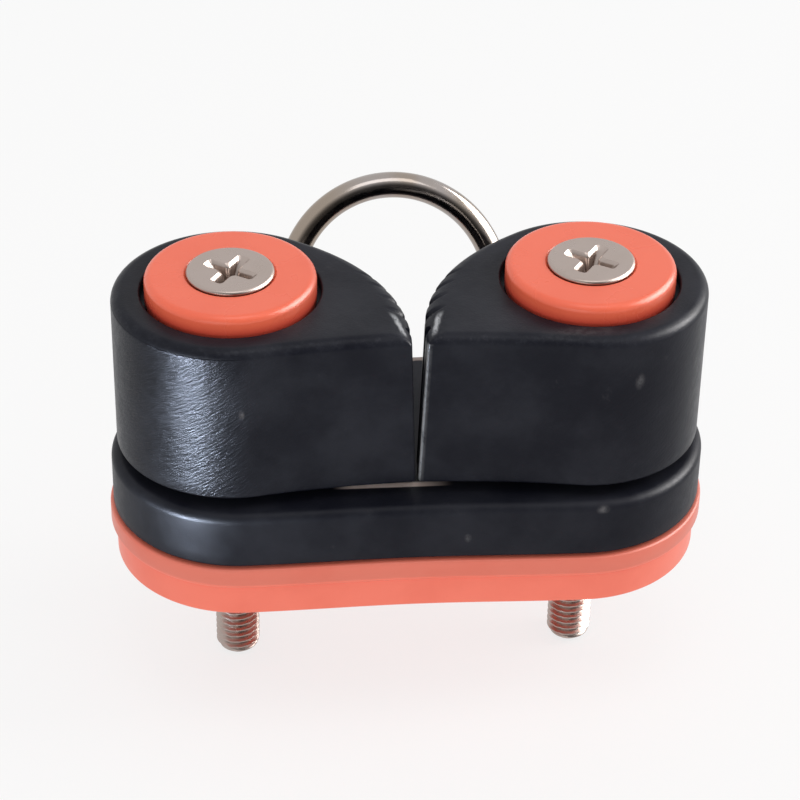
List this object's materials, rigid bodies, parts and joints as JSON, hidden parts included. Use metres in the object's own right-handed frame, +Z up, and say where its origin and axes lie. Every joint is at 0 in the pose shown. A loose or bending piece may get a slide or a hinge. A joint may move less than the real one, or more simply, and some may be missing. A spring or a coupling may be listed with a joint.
{
  "type": "cam cleat",
  "caption": "Cam cleat with sprung toothed cams on ball races, a leaning wire fairlead ring, a riser pad and countersunk through screws.",
  "frame": {"origin": "middle of the riser pad's flat underside, which rests on the deck", "axes": "+X along the cleat from the left post to the right post, +Y towards the load side where the wire ring stands, -Y towards the tail of the line where the cam tips meet, +Z up from the deck"},
  "size_m": [0.0654, 0.0425, 0.05],
  "materials": {
    "black_moulding": "glass-filled black moulding with a fine coarse grain, slightly worn to a satin sheen",
    "orange_moulding": "smooth orange-red moulding, satin",
    "stainless_steel": "polished stainless steel wire and screws",
    "spring_wire": "drawn stainless spring wire",
    "ball_acetal": "smooth off-white acetal balls"
  },
  "bodies": {
    "base": {"riser_pad": "orange_moulding", "base_plate": "black_moulding", "fairlead_ring": "stainless_steel", "cap_left": "orange_moulding", "cap_right": "orange_moulding", "spring_left": "spring_wire", "spring_right": "spring_wire", "screw_left": "stainless_steel", "screw_right": "stainless_steel"},
    "cam_left": {"cam_left": "black_moulding"},
    "cam_right": {"cam_right": "black_moulding"},
    "balls_left": {"ball_left_lower_01": "ball_acetal", "ball_left_lower_02": "ball_acetal", "ball_left_lower_03": "ball_acetal", "ball_left_lower_04": "ball_acetal", "ball_left_lower_05": "ball_acetal", "ball_left_lower_06": "ball_acetal", "ball_left_lower_07": "ball_acetal", "ball_left_lower_08": "ball_acetal", "ball_left_lower_09": "ball_acetal", "ball_left_lower_10": "ball_acetal", "ball_left_upper_01": "ball_acetal", "ball_left_upper_02": "ball_acetal", "ball_left_upper_03": "ball_acetal", "ball_left_upper_04": "ball_acetal", "ball_left_upper_05": "ball_acetal", "ball_left_upper_06": "ball_acetal", "ball_left_upper_07": "ball_acetal", "ball_left_upper_08": "ball_acetal", "ball_left_upper_09": "ball_acetal", "ball_left_upper_10": "ball_acetal"},
    "balls_right": {"ball_right_lower_01": "ball_acetal", "ball_right_lower_02": "ball_acetal", "ball_right_lower_03": "ball_acetal", "ball_right_lower_04": "ball_acetal", "ball_right_lower_05": "ball_acetal", "ball_right_lower_06": "ball_acetal", "ball_right_lower_07": "ball_acetal", "ball_right_lower_08": "ball_acetal", "ball_right_lower_09": "ball_acetal", "ball_right_lower_10": "ball_acetal", "ball_right_upper_01": "ball_acetal", "ball_right_upper_02": "ball_acetal", "ball_right_upper_03": "ball_acetal", "ball_right_upper_04": "ball_acetal", "ball_right_upper_05": "ball_acetal", "ball_right_upper_06": "ball_acetal", "ball_right_upper_07": "ball_acetal", "ball_right_upper_08": "ball_acetal", "ball_right_upper_09": "ball_acetal", "ball_right_upper_10": "ball_acetal"}
  },
  "joints": [
    {"name": "cam_left_turn", "type": "hinge", "parent": "base", "child": "cam_left", "pos_m": [-0.019, 0, 0.0235], "axis": [0, 0, 1], "range_deg": [-50, 0], "stiffness_Nm_per_rad": 0.05, "springref_deg": 20.05, "deforming": ["spring_left"]},
    {"name": "balls_left_orbit", "type": "hinge", "parent": "base", "child": "balls_left", "pos_m": [-0.019, 0, 0.0235], "axis": [0, 0, 1], "range_deg": [-33, 0]},
    {"name": "cam_right_turn", "type": "hinge", "parent": "base", "child": "cam_right", "pos_m": [0.019, 0, 0.0235], "axis": [0, 0, 1], "range_deg": [0, 50], "stiffness_Nm_per_rad": 0.05, "springref_deg": -20.05, "deforming": ["spring_right"]},
    {"name": "balls_right_orbit", "type": "hinge", "parent": "base", "child": "balls_right", "pos_m": [0.019, 0, 0.0235], "axis": [0, 0, 1], "range_deg": [0, 33]}
  ],
  "couplings": [
    {"joint": "balls_left_orbit", "follows": "cam_left_turn", "ratio": 0.652},
    {"joint": "balls_right_orbit", "follows": "cam_right_turn", "ratio": 0.652}
  ]
}
